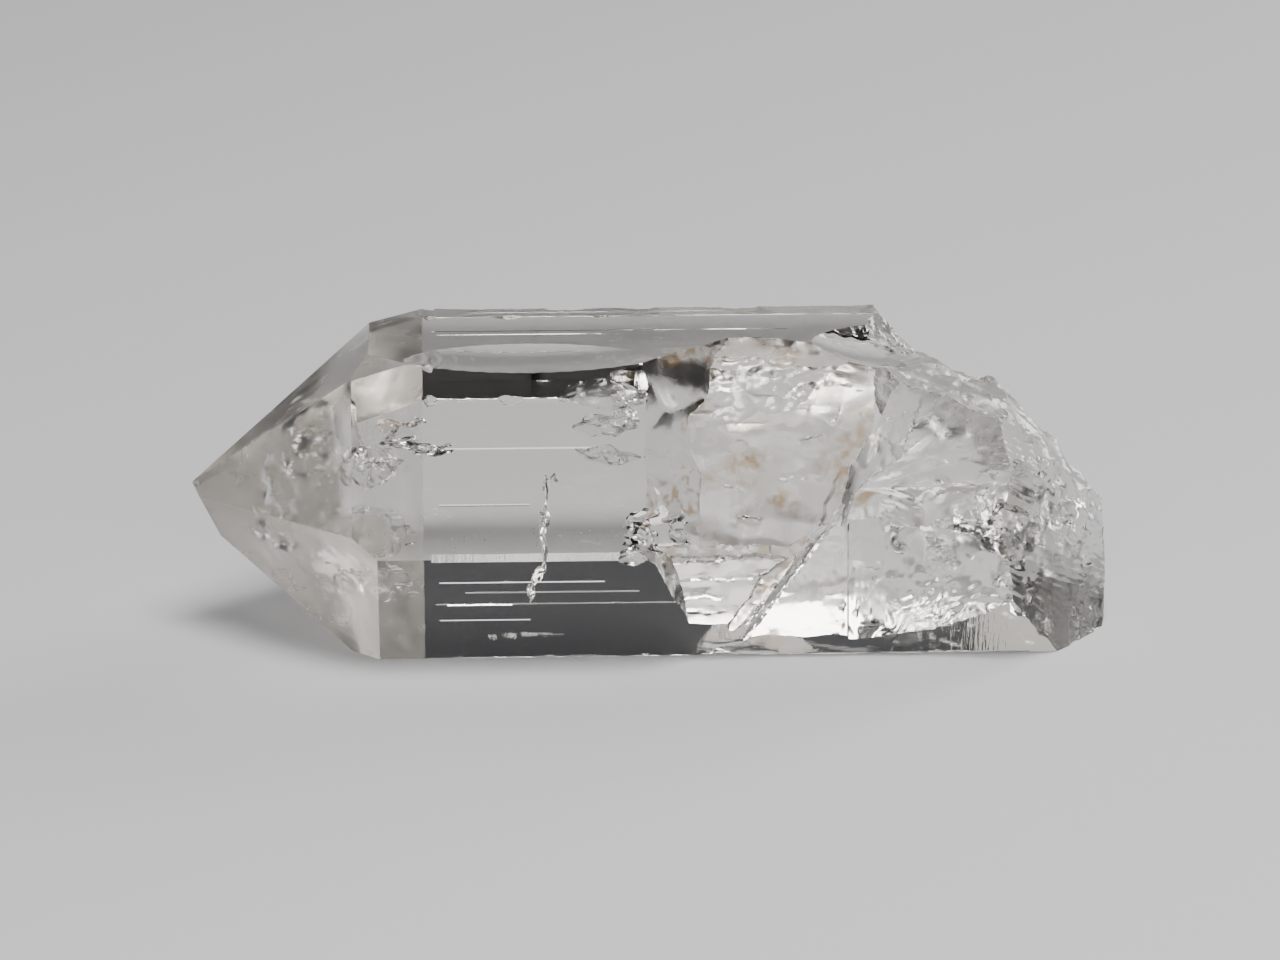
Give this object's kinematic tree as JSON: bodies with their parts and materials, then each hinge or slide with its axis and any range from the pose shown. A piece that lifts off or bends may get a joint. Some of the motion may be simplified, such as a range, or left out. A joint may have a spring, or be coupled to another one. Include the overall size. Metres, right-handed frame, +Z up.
{
  "type": "quartz crystal",
  "caption": "Clear natural quartz crystal lying on a prism face, with a pyramid point at one end and a broken, hollowed root at the other.",
  "frame": {"origin": "centre of the bounding box's underside, on the resting prism face", "axes": "+X along the crystal from its point to its broken root, +Y from the hollowed front to the back, +Z up from the resting face"},
  "size_m": [0.0362, 0.0148, 0.0117],
  "materials": {
    "quartz": "clear colourless quartz with glassy prism faces, milky point faces, bruised bright breaks and thin rust-brown stain in the hollow"
  },
  "bodies": {
    "root": {"crystal": "quartz"}
  },
  "joints": []
}
